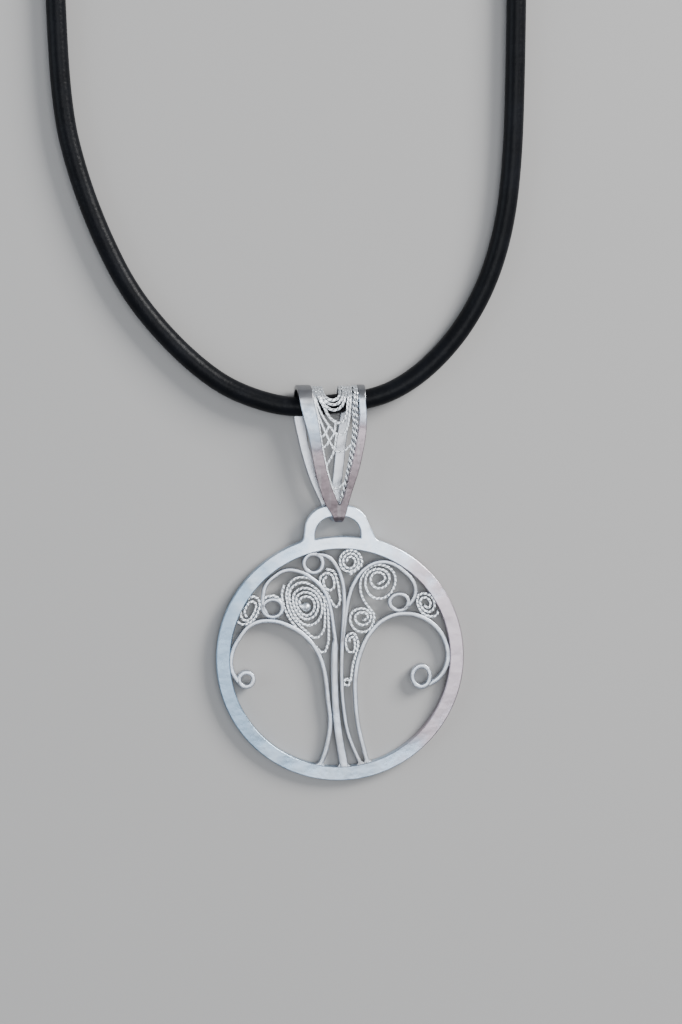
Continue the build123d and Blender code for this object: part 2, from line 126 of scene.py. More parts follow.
SCROLLS = [
    Scroll(-33, 49.5, 0, 21.7, 1, ROSE_LEAD, (
        18.6, 20, 11.5, 20, 15.3, 14.5, 8.8, 14, 12.4, 10.5, 6.2, 10.5, 9.2, 6.5, 3.4, 5,
    )),
    Scroll(34, 72.5, 180, 0, -1, [Place(18, 62)], (
        15, 12.5, 16, 18.5, 11, 8.5, 10.5, 9, 6.5, 5.5, 6.5, 5.5,
    )),
    Scroll(20.5, 37.5, 0, 0, -1, SECOND_LEAD, (10.5, 14, 11.5, 7.5, 7.5, 7.5, 7, 4, 4.5, 3.5)),
    Scroll(10.5, 14.5, 0, 0, 1, THIRD_LEAD, (5.5, 8, 5.5, 9.5, 2.6, 4.8, 2.8)),
    Scroll(8.5, 88, 270, 0, 1, [], (12, 11, 10.5, 9, 9, 8, 7.5, 6, 6, 5, 4.5, 3.5)),
    Scroll(-11.5, 72.5, 180, 14, -1, DROP_LEAD, (7.5, 5.5, 5, 10.4, 4, 2.5)),
    Scroll(-83, 43, 0, -25, 1, [Place(-93, 35.5), Place(-90.5, 32.5)], (
        7.5, 15, 7.5, 8, 4.5, 10.5, 4, 5,
    )),
    Scroll(78, 48.5, 90, 32, -1, RIGHT_SMALL_LEAD, (10.5, 8, 8, 4.8, 6.4, 4.4, 4, 2)),
]
GRANULE = Place(-31, 47)

# Plan of the bail. up is hundredths of its length from the foot: up to 100 is the front, from
# foot to crest, and on from 100 to 200 the back, from crest to foot. left and right are
# hundredths of its width from its middle.

Span = namedtuple("Span", "up left right")

BAIL_EDGE = [
    Span(0, 10, 15), Span(1.8, 7.2, 17.8), Span(2.5, 5.4, 19.6), Span(4, 4, 21.2),
    Span(7, 0.8, 23.4), Span(14.5, -8.5, 27),
    Span(24, -15.5, 32.5), Span(37.5, -23, 41), Span(50, -28, 46.5), Span(63.5, -33, 51),
    Span(78, -41, 52), Span(88, -46, 50.5), Span(100, -50, 50), Span(112, -52, 42),
    Span(125.5, -51, 32), Span(139, -45.5, 26.5), Span(151.5, -39.5, 23.8), Span(168, -29, 20.2),
    Span(186, -13, 17), Span(194, -4, 17), Span(200, 10, 15),
]
FRONT_OPENING = [
    Span(13, 13, 14), Span(18, 8.5, 18.5), Span(25.5, 2.2, 22.8), Span(38, -5.5, 28.5),
    Span(53, -12, 35), Span(68, -17, 40), Span(78, -20.5, 41.5), Span(88, -25, 40.5),
    Span(100, -29.5, 39.5), Span(110, -33, 34),
]
BACK_OPENING = [
    Span(120, -36, 18), Span(139, -32, 11.8), Span(151.5, -26, 9.2), Span(168, -15.5, 6),
    Span(181, -2.5, 2.5),
]

# Twisted wires that fill the front. Those that run over the crest end on the back's cross bar.
HANGING_WIRES = [
    [Place(-13, 112), Place(-13, 96.5), Place(-9.5, 92), Place(-2.5, 89.8), Place(4.8, 89.6),
     Place(10.3, 91.2), Place(12.8, 96), Place(13, 112)],
    [Place(-18, 112), Place(-17.5, 96.5), Place(-13, 91.5), Place(-6.5, 88), Place(0.7, 86.4),
     Place(8, 86.7), Place(13.8, 89.3), Place(16.8, 93), Place(17.3, 112)],
    [Place(-23, 112), Place(-21.5, 96.5), Place(-15.5, 90), Place(-8, 85.2), Place(-1, 82.8),
     Place(6.8, 82.5), Place(14, 84.6), Place(18.5, 88.5), Place(21, 94), Place(21.5, 112)],
    [Place(-27, 112), Place(-25.5, 96.5), Place(-17, 90), Place(-10.5, 84.5), Place(-4.5, 78.6),
     Place(3.2, 74.6), Place(11.3, 73), Place(18, 74), Place(22, 78.5), Place(24, 86),
     Place(25.5, 96), Place(25.5, 112)],
]
NET_WIRES = [
    [Place(-29, 96.5), Place(-21.3, 88), Place(-15, 80.5), Place(-7.6, 74.2), Place(0.8, 68.6),
     Place(8.2, 65), Place(15.6, 64.4), Place(21, 66.5), Place(24.5, 71), Place(27, 80),
     Place(29, 96), Place(29.5, 112)],
    [Place(-28, 90), Place(-22.5, 84), Place(-17.2, 76.8), Place(-11.4, 69.7), Place(-5.6, 63.4),
     Place(0.2, 57.5), Place(6, 53.3), Place(13.3, 51.8), Place(20, 52.8), Place(30, 57.5)],
    [Place(-17.5, 61.2), Place(-9.6, 64.5), Place(-6.1, 67.3), Place(-2.9, 71)],
    [Place(-14, 54.6), Place(-7.1, 56.4), Place(-2.5, 60.5)],
    [Place(-3.5, 60), Place(1.8, 62.8), Place(5, 66.4), Place(6.2, 72), Place(6.4, 75)],
    [Place(-7.5, 40.5), Place(-1.2, 46.2), Place(2.8, 49.9), Place(5.5, 54.3), Place(6.7, 58.8),
     Place(8, 66)],
    [Place(0.5, 27.6), Place(4, 25.6), Place(8.9, 24.9), Place(14, 26.3), Place(20.5, 29.5)],
    [Place(-27, 94), Place(-23, 86.7), Place(-19.4, 78.6), Place(-16.6, 68), Place(-14, 60),
     Place(-11, 52), Place(-7.7, 44), Place(-4.2, 37), Place(-0.2, 30), Place(4.2, 23), Place(9.3, 17)],
]
BORDER_WIRES = [
    [Place(34, 112), Place(34, 96), Place(33, 82), Place(33.5, 70), Place(32, 60),
     Place(29.5, 50), Place(26.5, 41), Place(23.5, 33), Place(20.5, 26), Place(16.5, 18)],
    [Place(37.6, 112), Place(37.6, 96), Place(37.3, 82), Place(37.6, 70), Place(35.8, 60),
     Place(32.8, 50), Place(29.2, 41)],
]


# Path of the cord's middle, in millimetres, from one cap of the clasp round to the other.
CORD_ROUTE = [
    (-19.0, 186.0, 1.8), (-24.6, 186.0, 1.8), (-29.8, 183.8, 1.62), (-33.9, 179.7, 1.4),
    (-36.0, 174.3, 1.27), (-36.15, 162.0, 1.25), (-36.2, 142.0, 1.25), (-36.25, 118.0, 1.25),
    (-36.1, 95.0, 1.25), (-35.7, 75.3, 1.25), (-35.0, 60.2, 1.25), (-33.1, 52.2, 1.25),
    (-30.3, 44.6, 1.25), (-26.6, 37.2, 1.25), (-21.4, 30.9, 1.27), (-16.0, 26.2, 1.45),
    (-11.5, 24.0, 1.75), (-6.4, 22.7, 1.95), (-1.3, 23.1, 1.95), (4.4, 23.85, 1.95),
    (8.5, 25.7, 1.75), (12.5, 28.9, 1.45), (16.2, 33.4, 1.27), (19.2, 39.2, 1.25),
    (21.1, 46.0, 1.25), (21.95, 53.6, 1.25), (22.25, 62.4, 1.25), (22.4, 77.5, 1.25),
    (22.4, 97.0, 1.25), (22.3, 119.0, 1.25), (22.1, 142.0, 1.25), (21.8, 162.0, 1.25),
    (21.5, 174.3, 1.27), (19.3, 179.7, 1.4), (15.15, 183.8, 1.62), (10.0, 186.0, 1.8),
    (4.4, 186.0, 1.8),
]


# Sizes and colours that a user would change


def length(name, description, default):
    return bpy.props.FloatProperty(
        name=name, description=description, default=default, min=0.0, precision=5, unit="LENGTH"
    )


def shift(name, description, default):
    return bpy.props.FloatProperty(
        name=name, description=description, default=default, precision=5, unit="LENGTH"
    )


def colour(name, description, default):
    return bpy.props.FloatVectorProperty(
        name=name, description=description, default=default, min=0.0, max=1.0, subtype="COLOR"
    )


class DiscSizes(bpy.types.PropertyGroup):
    ring_radius: length("Ring radius", "Outside of the round frame", (disc_high.x - disc_low.x) / 2)
    ring_band: length("Ring band", "Width of the frame's flat band", 0.0018)
    ring_height: length("Ring height", "The frame from its face to its back", 0.00125)
    edge: length("Edge", "Rounding of the frame's edges", 0.00013)
    trunk_foot: length("Trunk foot", "Width of the trunk where it stands on the frame", 0.00108)
    trunk_tip: length("Trunk tip", "Width of the trunk in the crown", 0.00075)
    trunk_height: length("Trunk height", "From its face to its back", 0.0011)
    bough_wire: length("Bough wire", "Width of the two big arches", 0.00055)
    bough_height: length("Bough height", "From its face to its back", 0.001)
    twig_wire: length("Twig wire", "Width of the wires that divide the crown", 0.00048)
    wire_edge: length("Wire edge", "Rounding of the flat wires' edges", 0.0001)
    scroll_wire: length("Scroll wire", "Width of the flattened twisted wire", 0.00032)
    scroll_height: length("Scroll height", "From its face to its back", 0.00075)
    scroll_lay: length("Scroll lay", "One turn of the twist", 0.0011)
    granule_radius: length("Granule radius", "The ball in the rose", 0.0006)
    lug_side: shift("Lug side", "How far the top loop sits to one side", -0.00035)
    lug_left_foot: length("Lug left foot", "From its middle to its left side, at the frame", 0.00445)
    lug_left_crest: length("Lug left crest", "From its middle to its left side, at the crest", 0.0039)
    lug_right_foot: length("Lug right foot", "From its middle to its right side, at the frame", 0.00505)
    lug_right_crest: length("Lug right crest", "From its middle to its right side, at the crest", 0.00295)
    lug_rise: length("Lug rise", "From the frame's outside to the crest", 0.00378)
    lug_round: length("Lug round", "Rounding of the crest's corners", 0.0031)
    lug_flare: length("Lug flare", "Hollow rounding where it meets the frame", 0.0009)
    lug_bar: length("Lug bar", "Metal between the hole and the crest", 0.00142)
    lug_hole: length("Lug hole", "Width of the hole", 0.0059)
    lug_hole_round: length("Lug hole round", "Rounding of the hole's upper corners", 0.0023)
    lug_hole_sink: length("Lug hole sink", "The hole's floor, below the frame's outside", 0.0002)


class BailSizes(bpy.types.PropertyGroup):
    side: shift("Side", "Middle of the fold, to one side of the ring's middle", -0.0014)
    width: length("Width", "Across the fold at its widest", 0.0087)
    wall: length("Wall", "Thickness of the band", 0.0006)
    corner: length("Corner", "Outside rounding of the foot", 0.0007)
    foot_height: length("Foot height", "The fold's height at its foot", 0.0026)
    edge: length("Edge", "Rounding of the band's edges", 0.00009)
    hanging_wire: length("Hanging wire", "Width of the wires that hang from the crest", 0.00036)
    net_wire: length("Net wire", "Width of the finer wires between them", 0.00028)
    border_wire: length("Border wire", "Width of the wires along the band", 0.0004)
    hanging_lay: length("Hanging lay", "One turn of the finer twist", 0.0012)
    border_lay: length("Border lay", "One turn of the border wires' twist", 0.0015)


class CordSizes(bpy.types.PropertyGroup):
    diameter: length("Diameter", "Of the round leather cord", 0.0025)
    long: length("Length", "Of the cord between the clasp's caps", 0.377)


class Finishes(bpy.types.PropertyGroup):
    # Whitened silver; its blue cast is a painted cool reflection.
    silver: colour("Silver", "Whitened silver of the flat faces", (0.66, 0.79, 0.95))
    polished: colour("Polished silver", "Burnished edges", (0.92, 0.96, 1))
    # Grey for the painted shade between the wires' turns, on the bail's back and, darker, over its crest;
    # it also greys the wires and the clasp and draws the bail's streaks.
    shade: colour("Shaded silver", "Between the wires' turns", (0.45, 0.445, 0.46))
    # Painted cool reflection, on the frame's left and foot and on the bail's front leg.
    painted_sky: colour("Cool tint", "Towards the left of the frame", (0.25, 0.36, 0.48))
    # Painted mauve reflection, on the frame's right and low on the bail's front leg.
    painted_lilac: colour("Warm tint", "Towards the right and the foot", (0.46, 0.37, 0.4))
    leather: colour("Leather", "Dyed cord", (0.004, 0.0045, 0.006))
    worn: colour("Worn leather", "Where the dye is thinner", (0.012, 0.014, 0.02))
    floor: colour("Floor", "Pale surface", (0.42, 0.415, 0.41))
    floor_light: colour("Floor, lighter", "Soft patches in it", (0.5, 0.495, 0.49))


# Modelling


def clear():
    """Object mode with nothing selected."""
    if bpy.context.mode != "OBJECT":
        bpy.ops.object.mode_set(mode="OBJECT")
    bpy.ops.object.select_all(action="DESELECT")


def pick(*objects):
    clear()
    for item in objects:
        item.select_set(True)
    bpy.context.view_layer.objects.active = objects[0]


def choose(item, kind, test):
    """Edit mode on one piece, with the vertices, edges or faces that pass the test selected."""
    pick(item)
    bpy.ops.object.mode_set(mode="EDIT")
    bpy.ops.mesh.select_mode(type=kind)
    bpy.ops.mesh.select_all(action="DESELECT")
    mesh = bmesh.from_edit_mesh(item.data)
    for element in {"VERT": mesh.verts, "EDGE": mesh.edges, "FACE": mesh.faces}[kind]:
        if test(element):
            element.select_set(True)
    mesh.select_flush_mode()
    bmesh.update_edit_mesh(item.data)


def everything(element):
    return True


def linked(name, data):
    """A new object in the scene with this data."""
    item = bpy.data.objects.new(name, data)
    bpy.context.scene.collection.objects.link(item)
    return item


def apply_modifiers(item):
    pick(item)
    for modifier in list(item.modifiers):
        bpy.ops.object.modifier_apply(modifier=modifier.name)


def join(items, name):
    pick(*items)
    if len(items) > 1:
        bpy.ops.object.join()
    whole = bpy.context.view_layer.objects.active
    whole.name = name
    return whole


def discard(*items):
    for item in items:
        bpy.data.objects.remove(item)


def settle(item, place, smooth):
    """Puts a piece shaped in millimetres at its place in the row frame. Faces that meet at less
    than this many degrees shade as one."""
    pick(item)
    bpy.ops.object.transform_apply()
    item.data.transform(place @ Matrix.Scale(MM, 4))
    item.data.update()
    bpy.ops.object.shade_smooth_by_angle(angle=radians(smooth))
    even = item.modifiers.new("even", "WEIGHTED_NORMAL")
    even.keep_sharp = True
    apply_modifiers(item)


def bent_path(points, closed=False):
    """A flat curve that passes smoothly through the points."""
    shape = bpy.data.curves.new("path", "CURVE")
    shape.dimensions = "2D"
    shape.resolution_u = 16
    line = shape.splines.new("BEZIER")
    line.bezier_points.add(len(points) - 1)
    for knot, point in zip(line.bezier_points, points):
        knot.co = Vector(point).to_3d()
        knot.handle_left_type = "AUTO"
        knot.handle_right_type = "AUTO"
    line.use_cyclic_u = closed
    path = linked("path", shape)
    bpy.context.view_layer.update()
    return path


def follow(item, path):
    """Bends a straight piece along a path and drops the path."""
    clear()
    bend = item.modifiers.new("bend", "CURVE")
    bend.object = path
    apply_modifiers(item)
    discard(path)


def tell_edges(item):
    """The second material on the rounded edges of a piece that lies flat."""
    upright, level = 0.1, 0.99
    for face in item.data.polygons:
        face.material_index = 1 if upright < abs(face.normal.z) < level else 0


# The end of a flat wire narrows in three steps, each this far from it and to this share
Taper = namedtuple("Taper", "back share")
WIRE_END = [Taper(0.6, 0.85), Taper(0.3, 0.75), Taper(0.01, 0.5)]


def flat_stock(run, width, height, edge, tip=1.0, step=0.25):
    """Straight wire of flat section along X, its long edges rounded and its end tapered. It is cut
    across at each step, so that it bends."""
    clear()
    bpy.ops.mesh.primitive_cube_add(size=1, location=(run / 2, 0, 0), scale=(run, width, height))
    wire = bpy.context.object
    bpy.ops.object.transform_apply()

    def along(edge):
        return abs(edge.verts[0].co.x - edge.verts[1].co.x) > run / 2

    choose(wire, "EDGE", along)
    bpy.ops.mesh.bevel(offset=edge, segments=3, affect="EDGES")
    choose(wire, "VERT", lambda corner: corner.co.x > run / 2)
    bpy.ops.transform.resize(value=(1, tip, 1), center_override=(run, 0, 0))
    choose(wire, "EDGE", along)
    bpy.ops.mesh.subdivide(number_cuts=int(run / step))
    for taper in WIRE_END:
        choose(wire, "VERT", lambda corner: corner.co.x > run - taper.back)
        bpy.ops.transform.resize(value=(1, taper.share, 1), center_override=(run, 0, 0))
    clear()
    tell_edges(wire)
    return wire


# Shares of one strand's width: half the thickness and half the width left when a twisted pair is
# rolled, the strand's own radius, which is more than half where the two are pressed together, and
# how much taller than wide a strand is before it is rolled
ROLLED = 0.62
PRESSED = 0.6
TALL = 1.25


def paint_groove(item, reach):
    """Keeps how far each point is from the twist's middle, for the painted shade between the strands."""
    depth = item.data.attributes.new("depth", "FLOAT", "POINT")
    for corner, value in zip(item.data.vertices, depth.data):
        value.value = min(hypot(corner.co.y, corner.co.z) / reach, 1)


def twisted_lay(lay, strand, rolled=ROLLED, pressed=PRESSED, steps=10, sides=8):
    """One turn of two round wires twisted together and rolled flat on all four sides, along X."""
    clear()
    turns = []
    for way in (-1, 1):
        bpy.ops.mesh.primitive_circle_add(
            vertices=sides, radius=pressed * strand, location=(0, way * (1 - pressed) * strand, 0),
            rotation=(0, pi / 2, 0),
        )
        ring = bpy.context.object
        bpy.ops.object.transform_apply()
        choose(ring, "VERT", everything)
        bpy.ops.transform.resize(value=(1, 1, TALL))
        for step in range(steps):
            bpy.ops.mesh.extrude_region_move(TRANSFORM_OT_translate={"value": (lay / steps, 0, 0)})
            bpy.ops.transform.rotate(
                value=2 * pi / steps, orient_axis="X", orient_type="GLOBAL", center_override=(0, 0, 0)
            )
        clear()
        turns.append(ring)
    pair = join(turns, "lay")
    paint_groove(pair, strand)
    reach = rolled * strand
    for way in (-1, 1):
        choose(pair, "VERT", lambda corner: corner.co.z * way > reach)
        bpy.ops.transform.resize(value=(1, 1, 0), center_override=(0, 0, way * reach))
        choose(pair, "VERT", lambda corner: corner.co.y * way > reach)
        bpy.ops.transform.resize(value=(1, 0, 1), center_override=(0, way * reach, 0))
    clear()
    return pair


def twisted_wire(pattern, path, lay, squeeze, stretch):
    """Copies of the twisted pair along a path, narrowed and heightened by these shares."""
    wire = linked("wire", pattern.data.copy())
    run = path.data.splines[0].calc_length()
    count = max(1, round(run / lay))
    pick(wire)
    wire.scale = (run / count / lay, squeeze, stretch)
    bpy.ops.object.transform_apply()
    row = wire.modifiers.new("row", "ARRAY")
    row.count = count
    row.use_relative_offset = False
    row.use_constant_offset = True
    row.constant_offset_displace = (run / count, 0, 0)
    row.use_merge_vertices = True
    row.merge_threshold = 0.002
    apply_modifiers(wire)
    choose(wire, "EDGE", lambda edge: edge.is_boundary)
    bpy.ops.mesh.fill_holes(sides=0)
    choose(wire, "FACE", everything)
    bpy.ops.mesh.normals_make_consistent(inside=False)
    clear()
    follow(wire, path)
    return wire


def solder(corner, along, beside, reach, height):
    """A small hollow fillet in the corner between two edges that leave it in these directions. It
    sinks a little into both."""
    sink, hollow_share, pull, edge = 0.12, 0.12, 0.7, 0.03
    up_end = corner + along * reach
    side_end = corner + beside * reach
    hollow = corner + (along + beside) * (reach * hollow_share)
    outline = [
        sharp(corner - (along + beside) * sink),
        sharp(side_end - along * sink),
        Knot(side_end, side_end, side_end.lerp(hollow, pull)),
        Knot(up_end, up_end.lerp(hollow, pull), up_end),
        sharp(up_end - beside * sink),
    ]
    return plate([outline], height, edge, "solder")


LOOP_SIDES = 56


def spun_loop(half_width, half_height, width, height, edge):
    """A closed oval loop of flat wire about the origin."""
    clear()
    mean = (half_width + half_height) / 2
    bpy.ops.mesh.primitive_plane_add(size=1, location=(mean, 0, 0), rotation=(pi / 2, 0, 0))
    loop = bpy.context.object
    loop.scale = (width, height, 1)
    bpy.ops.object.transform_apply()
    choose(loop, "VERT", everything)
    bpy.ops.mesh.bevel(offset=edge, segments=3, affect="VERTICES")
    bpy.ops.mesh.select_all(action="SELECT")
    bpy.ops.mesh.delete(type="ONLY_FACE")
    bpy.ops.mesh.select_all(action="SELECT")
    bpy.ops.mesh.spin(steps=LOOP_SIDES, angle=2 * pi, center=(0, 0, 0), axis=(0, 0, 1))
    bpy.ops.mesh.select_all(action="SELECT")
    bpy.ops.mesh.remove_doubles(threshold=0.001)
    bpy.ops.mesh.normals_make_consistent(inside=False)
    bpy.ops.transform.resize(
        value=(half_width / mean, half_height / mean, 1), center_override=(0, 0, 0)
    )
    clear()
    tell_edges(loop)
    return loop


# Flat plates with rounded edges. A knot is a point of the outline and its two handles.

Knot = namedtuple("Knot", "point before after")


def sharp(point):
    """The knot of a corner between straight lines."""
    return Knot(point, point, point)


def rounded(corner, start, end, radius):
    """The two knots of an arc in the corner between lines that come from start and go to end."""
    inward = (start - corner).normalized()
    outward = (end - corner).normalized()
    turn = pi - inward.angle(outward)
    gap = radius * tan(turn / 2)
    pull = 4 / 3 * radius * tan(turn / 4)
    first = corner + inward * gap
    last = corner + outward * gap
    return [
        Knot(first, first, first - inward * pull),
        Knot(last, last - outward * pull, last),
    ]


def arc(radius, start, end, pieces):
    """Knots of an arc about the origin, from one angle to the other, in radians."""
    step = (end - start) / pieces
    pull = 4 / 3 * radius * tan(step / 4)
    knots = []
    for piece in range(pieces + 1):
        angle = start + step * piece
        point = Vector((cos(angle), sin(angle))) * radius
        heading = Vector((-sin(angle), cos(angle))) * pull
        knots.append(Knot(point, point - heading, point + heading))
    return knots


def circle(radius):
    return arc(radius, 0, 2 * pi, pieces=8)[:-1]


def plate(outlines, height, edge, name, pieces=24):
    """A flat plate in the plane z = 0 with rounded edges. Outlines after the first are holes.
    Each curve from one knot to the next is cut in this many pieces."""
    shape = bpy.data.curves.new(name, "CURVE")
    shape.dimensions = "2D"
    shape.fill_mode = "BOTH"
    shape.resolution_u = pieces
    shape.extrude = height / 2 - edge
    shape.bevel_depth = edge
    shape.bevel_resolution = 2
    shape.offset = -edge
    for outline in outlines:
        line = shape.splines.new("BEZIER")
        line.bezier_points.add(len(outline) - 1)
        line.use_cyclic_u = True
        for knot, (point, before, after) in zip(line.bezier_points, outline):
            knot.handle_left_type = "FREE"
            knot.handle_right_type = "FREE"
            knot.co = point.to_3d()
            knot.handle_left = before.to_3d()
            knot.handle_right = after.to_3d()
    item = linked(name, shape)
    pick(item)
    bpy.ops.object.convert(target="MESH")
    choose(item, "VERT", everything)
    bpy.ops.mesh.remove_doubles(threshold=0.0005)
    bpy.ops.mesh.normals_make_consistent(inside=False)

    def rim(edge):
        """Between a flat face, whose normal is along Z, and its rounded edge."""
        return sum(abs(face.normal.z) > 0.999 for face in edge.link_faces) == 1

    choose(item, "EDGE", rim)
    bpy.ops.mesh.mark_sharp()
    clear()
    tell_edges(item)
    return item


# Outlines of the ring frame, in millimetres from its middle


def lug_flank(sizes, way, foot_reach, crest_reach):
    """The lug's right (1) or left (-1) side: the angle at which its flare leaves the band, the
    flare's ends on the band and on the side, each with its handle, and the crest's corner."""
    radius = sizes.ring_radius / MM
    side = sizes.lug_side / MM
    flare = sizes.lug_flare / MM
    low = Vector((side + way * foot_reach / MM, radius - sizes.ring_band / MM / 2))
    high = Vector((side + way * crest_reach / MM, radius + sizes.lug_rise / MM))
    rise = (high - low).normalized()
    toward = low.dot(rise)
    meet = low + rise * (-toward + (toward ** 2 - low.length_squared + radius ** 2) ** 0.5)
    angle = atan2(meet.y, meet.x)
    tangent = Vector((-sin(angle), cos(angle))) * way
    turn = tangent.angle(rise)
    gap = flare * tan(turn / 2)
    pull = 4 / 3 * flare * tan(turn / 4)
    joined = angle - way * gap / radius
    band = Vector((cos(joined), sin(joined))) * radius
    heading = Vector((-sin(joined), cos(joined))) * way
    wall = meet + rise * gap
    return joined, (band, band + heading * pull), (wall, wall - rise * pull), high


def frame_outline(sizes):
    """Over the lug from its right side to its left, and round the ring."""
    right_angle, right_band, right_wall, right_high = lug_flank(
        sizes, 1, sizes.lug_right_foot, sizes.lug_right_crest
    )
    left_angle, left_band, left_wall, left_high = lug_flank(
        sizes, -1, sizes.lug_left_foot, sizes.lug_left_crest
    )
    corner = sizes.lug_round / MM
    around = arc(sizes.ring_radius / MM, left_angle, right_angle + 2 * pi, pieces=12)
    around[0] = Knot(around[0].point, left_band[1], around[0].after)
    around[-1] = Knot(around[-1].point, around[-1].before, right_band[1])
    return [
        Knot(right_wall[0], right_wall[1], right_wall[0]),
        *rounded(right_high, right_wall[0], left_high, corner),
        *rounded(left_high, right_high, left_wall[0], corner),
        Knot(left_wall[0], left_wall[0], left_wall[1]),
        *around,
    ]


def lug_hole(sizes):
    """A flat roof with rounded corners, and a floor that follows the ring."""
    radius = sizes.ring_radius / MM
    side = sizes.lug_side / MM
    half = sizes.lug_hole / MM / 2
    corner = sizes.lug_hole_round / MM
    floor = radius - sizes.lug_hole_sink / MM
    roof = radius + (sizes.lug_rise - sizes.lug_bar) / MM
    first = atan2((floor ** 2 - (side + half) ** 2) ** 0.5, side + half)
    last = atan2((floor ** 2 - (side - half) ** 2) ** 0.5, side - half)
    low_right = Vector((cos(first), sin(first))) * floor
    low_left = Vector((cos(last), sin(last))) * floor
    roof_right = Vector((side + half, roof))
    roof_left = Vector((side - half, roof))
    sill = arc(floor, last, first, pieces=2)
    return [
        Knot(low_right, sill[-1].before, low_right),
        *rounded(roof_right, low_right, roof_left, corner),
        *rounded(roof_left, roof_right, low_left, corner),
        Knot(low_left, low_left, sill[0].after),
        sill[1],
    ]


# Frames in which the pieces are shaped


def disc_place():
    """From the ring's middle, with z from the middle of its thickness, to the row frame."""
    sizes = bpy.context.scene.pendant_disc
    rise = disc_high.z - sizes.ring_height
    tilt = asin(rise / (disc_high.y - disc_low.y))
    low_edge = disc_low.y + sizes.ring_height * sin(tilt)
    lean = Matrix.Translation((0, low_edge, 0)) @ Matrix.Rotation(tilt, 4, "X")
    return lean @ Matrix.Translation((0, sizes.ring_radius, sizes.ring_height / 2))


def tree_radius():
    sizes = bpy.context.scene.pendant_disc
    return (sizes.ring_radius - sizes.ring_band) / MM


def on_tree(place):
    percent = tree_radius() / 100
    return Vector((place.across * percent, place.up * percent))


def scroll_points(scroll):
    points = [on_tree(place) for place in scroll.lead]
    for quarter, reach in enumerate(scroll.reaches):
        angle = radians(scroll.start + scroll.lean + scroll.hand * quarter * 90)
        spoke = Vector((cos(angle), sin(angle))) * (reach * tree_radius() / 100)
        points.append(on_tree(scroll) + spoke)
    return points


class Fold:
    """The bail's folded band, developed flat. Its points are the path of the middle of its wall,
    from the foot up the front, over the crest and down the back, and its marks are how far along
    that path they lie."""

    def __init__(self):
        sizes = bpy.context.scene.pendant_bail
        half = sizes.wall / 2 / MM
        self.length = (bail_high.y - bail_low.y) / MM
        bend = bail_high.z / 2 / MM
        foot_height = sizes.foot_height / MM
        corner = sizes.corner / MM
        small = corner - half
        large = bend - half
        upper = Vector((corner, foot_height - corner))
        lower = Vector((corner, corner))
        crest = Vector((self.length - bend, bend))
        run = crest - upper
        slope = atan2(run.y, run.x) + asin((large - small) / run.length)
        self.points = []
        self.turn(upper, small, pi, pi / 2 + slope, steps=8)
        self.turn(crest, large, pi / 2 + slope, -pi / 2, steps=40)
        self.turn(lower, small, -pi / 2, -pi, steps=8)
        middle = Vector((half, foot_height / 2))
        self.points = [middle] + self.points + [middle]
        self.marks = [0]
        for before, after in zip(self.points, self.points[1:]):
            self.marks.append(self.marks[-1] + (after - before).length)
        self.crest = max(range(len(self.points)), key=lambda index: self.points[index].x)

    def turn(self, middle, radius, start, end, steps):
        """Adds the points of an arc, from one angle to the other."""
        for step in range(steps + 1):
            angle = start + (end - start) * step / steps
            self.points.append(middle + Vector((cos(angle), sin(angle))) * radius)

    def developed(self, up):
        """How far along the flat band a share of the bail's length is, in millimetres."""
        front = up <= 100
        reach = (up if front else 200 - up) * self.length / 100
        if front:
            order = range(0, self.crest)
        else:
            order = range(self.crest, len(self.points) - 1)
        for index in order:
            low, high = self.points[index], self.points[index + 1]
            if min(low.x, high.x) <= reach <= max(low.x, high.x) and low.x != high.x:
                share = (reach - low.x) / (high.x - low.x)
                return self.marks[index] + share * (self.marks[index + 1] - self.marks[index])
        if reach > self.length / 2:
            return self.marks[self.crest]
        return self.marks[0] if front else self.marks[-1]

    def place(self, across, up):
        sizes = bpy.context.scene.pendant_bail
        return Vector((self.developed(up), across * sizes.width / MM / 100))

    def path(self):
        return straight_path(self.points)


def straight_path(points):
    shape = bpy.data.curves.new("fold", "CURVE")
    shape.dimensions = "2D"
    line = shape.splines.new("POLY")
    line.points.add(len(points) - 1)
    for knot, point in zip(line.points, points):
        knot.co = (point.x, point.y, 0, 1)
    path = linked("fold", shape)
    bpy.context.view_layer.update()
    return path


def bail_place():
    """From the fold's side view, with x up the bail and y its height, to the row frame."""
    sizes = bpy.context.scene.pendant_bail
    turned = Matrix(((0, 0, 1, 0), (1, 0, 0, 0), (0, 1, 0, 0), (0, 0, 0, 1)))
    return Matrix.Translation((sizes.side, bail_low.y, 0)) @ turned


def smooth_run(points):
    """Knots of a smooth line through these points, with a corner at either end."""
    knots = []
    for index, point in enumerate(points):
        before = points[max(index - 1, 0)]
        after = points[min(index + 1, len(points) - 1)]
        heading = (after - before).normalized()
        knots.append(Knot(
            point,
            point - heading * ((point - before).length / 3),
            point + heading * ((after - point).length / 3),
        ))
    return knots


def span_outline(fold, spans):
    """The outline of a table of spans, down its left side and up its right."""
    left = [fold.place(span.left, span.up) for span in spans]
    right = [fold.place(span.right, span.up) for span in reversed(spans)]
    return smooth_run(left) + smooth_run(right)


# Materials


class Socket:
    """A shader socket that takes Python's arithmetic."""

    def __init__(self, paint, output):
        self.paint = paint
        self.output = output

    def maths(self, operation, first, second):
        return self.paint.add("ShaderNodeMath", {"operation": operation}, {0: first, 1: second})

    def __add__(self, other):
        return self.maths("ADD", self, other)

    def __radd__(self, other):
        return self.maths("ADD", other, self)

    def __sub__(self, other):
        return self.maths("SUBTRACT", self, other)

    def __rsub__(self, other):
        return self.maths("SUBTRACT", other, self)

    def __mul__(self, other):
        return self.maths("MULTIPLY", self, other)

    def __rmul__(self, other):
        return self.maths("MULTIPLY", other, self)


